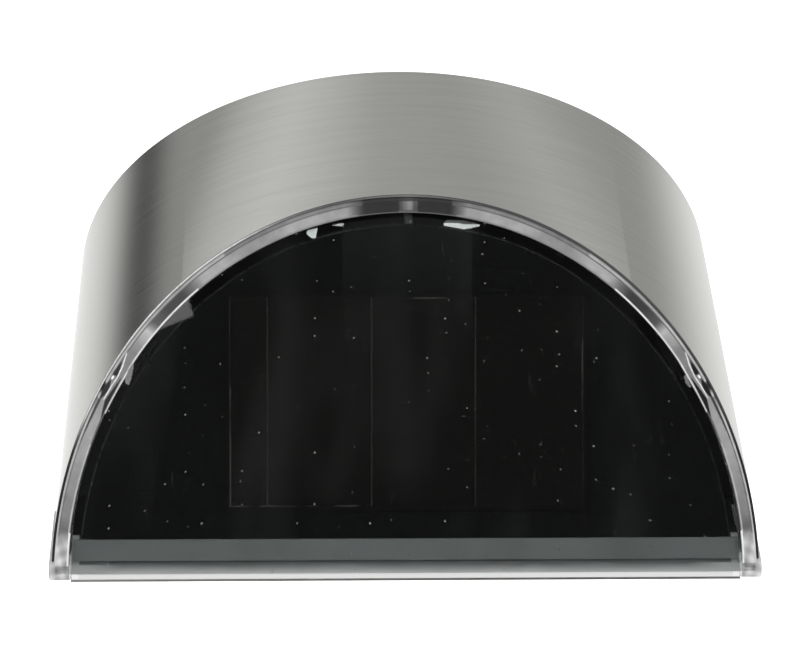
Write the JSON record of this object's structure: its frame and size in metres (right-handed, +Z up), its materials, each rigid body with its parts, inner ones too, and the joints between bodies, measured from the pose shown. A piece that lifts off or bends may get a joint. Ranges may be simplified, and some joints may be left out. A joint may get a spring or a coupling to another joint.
{
  "type": "solar fence light",
  "caption": "Half-round solar light for a fence or wall: slanted solar face under a clear cover, brushed steel band, light downwards.",
  "frame": {"origin": "on the fence plane, midway between the seats of the two keyholes", "axes": "+Z up along the fence, +Y into the fence, -Y out into the garden, +X to the left of a person facing the light"},
  "size_m": [0.1108, 0.0453, 0.0716],
  "materials": {
    "brushed_stainless": "fine brushed lines that follow the band round",
    "clear_plastic": "clear polished plastic",
    "black_rubber": "matt black",
    "black_gloss": "smooth glossy black",
    "cell_glass": "polished glass",
    "cell_film": "very dark brown-black film",
    "cell_back": "matt dark coating",
    "solder": "dull tinned strip",
    "grey_rubber": "even matt dark grey",
    "black_plastic": "satin black",
    "white_plastic": "satin white",
    "plain_stainless": "plain rolled sheet",
    "screw_steel": "plated steel",
    "battery_wrap": "plain green wrap",
    "contact_nickel": "nickel-plated spring steel",
    "chip_black": "moulded chip body",
    "board_green": "solder mask",
    "coil_green": "lacquered coil body",
    "can_aluminium": "drawn can",
    "board_white": "white solder mask",
    "led_yellow": "phosphor under clear resin",
    "white_gloss": "glossy white",
    "lens_plastic": "clear plastic, lightly frosted",
    "wire_red": "insulated wire",
    "wire_black": "insulated wire"
  },
  "bodies": {
    "light": {"steel_band": "brushed_stainless", "top_cover": "clear_plastic", "cover_gasket": "black_rubber", "solar_tray": "black_gloss", "cell_glass": "cell_glass", "cell_film": "cell_film", "cell_backing": "cell_back", "cell_solder": "solder", "sill_seal": "grey_rubber", "inner_housing": "black_plastic", "housing_gasket": "black_rubber", "back_cover": "white_plastic", "wall_plate": "plain_stainless", "back_screws": "screw_steel", "battery": "battery_wrap", "contact_plate": "contact_nickel", "contact_spring": "contact_nickel", "switch_body": "chip_black", "switch_terminals": "solder", "control_board": "board_green", "board_screws": "screw_steel", "control_chip": "chip_black", "coil": "coil_green", "capacitor": "can_aluminium", "led_board": "board_white", "led_emitters": "led_yellow", "led_screws": "screw_steel", "reflector": "white_gloss", "bottom_lens": "lens_plastic", "solar_lead_red": "wire_red", "solar_lead_black": "wire_black", "battery_lead_red": "wire_red", "battery_lead_black": "wire_black", "switch_lead_in": "wire_red", "switch_lead_out": "wire_black", "led_leads": "wire_black", "tray_clips": "white_plastic"},
    "battery_door": {"battery_door": "white_plastic", "door_gasket": "black_rubber", "door_screw": "screw_steel"},
    "switch_knob": {"switch_knob": "black_plastic"}
  },
  "joints": [
    {"name": "battery_door_off", "type": "slide", "parent": "light", "child": "battery_door", "axis": [0, 1, 0], "range_m": [0, 0.015]},
    {"name": "switch_slide", "type": "slide", "parent": "light", "child": "switch_knob", "axis": [1, 0, 0], "range_m": [0, 0.003]}
  ]
}
